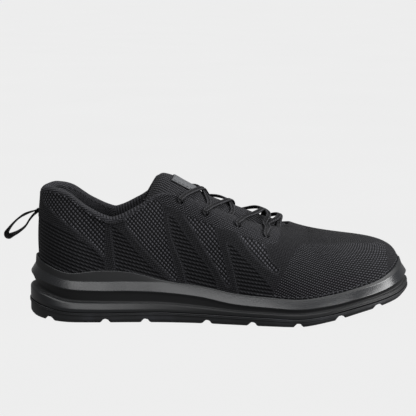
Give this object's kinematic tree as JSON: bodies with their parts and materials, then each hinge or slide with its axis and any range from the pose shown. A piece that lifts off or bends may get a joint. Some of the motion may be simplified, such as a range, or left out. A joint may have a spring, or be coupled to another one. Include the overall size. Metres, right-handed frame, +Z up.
{
  "type": "occupational shoe",
  "caption": "Black knitted low work shoe with a moulded cup sole, laced throat, padded collar and heel pull loop.",
  "frame": {"origin": "on the ground under the middle of the heel", "axes": "+X from heel to toe, +Y to the inner side of the foot, +Z up"},
  "size_m": [0.3222, 0.1099, 0.1133],
  "materials": {
    "tread_rubber": "matte moulded rubber",
    "moulded_midsole": "satin moulded polyurethane",
    "knit": "black engineered knit",
    "lining": "brushed mesh lining",
    "label_tape": "plain woven tape",
    "webbing": "narrow woven webbing",
    "lace_cord": "flat braided polyester"
  },
  "bodies": {
    "root": {"outsole": "tread_rubber", "midsole": "moulded_midsole", "upper": "knit", "tongue": "knit", "insole": "lining", "tongue_label": "label_tape", "pull_loop": "webbing", "lace_1": "lace_cord", "lace_2": "lace_cord", "lace_3": "lace_cord"}
  },
  "joints": []
}
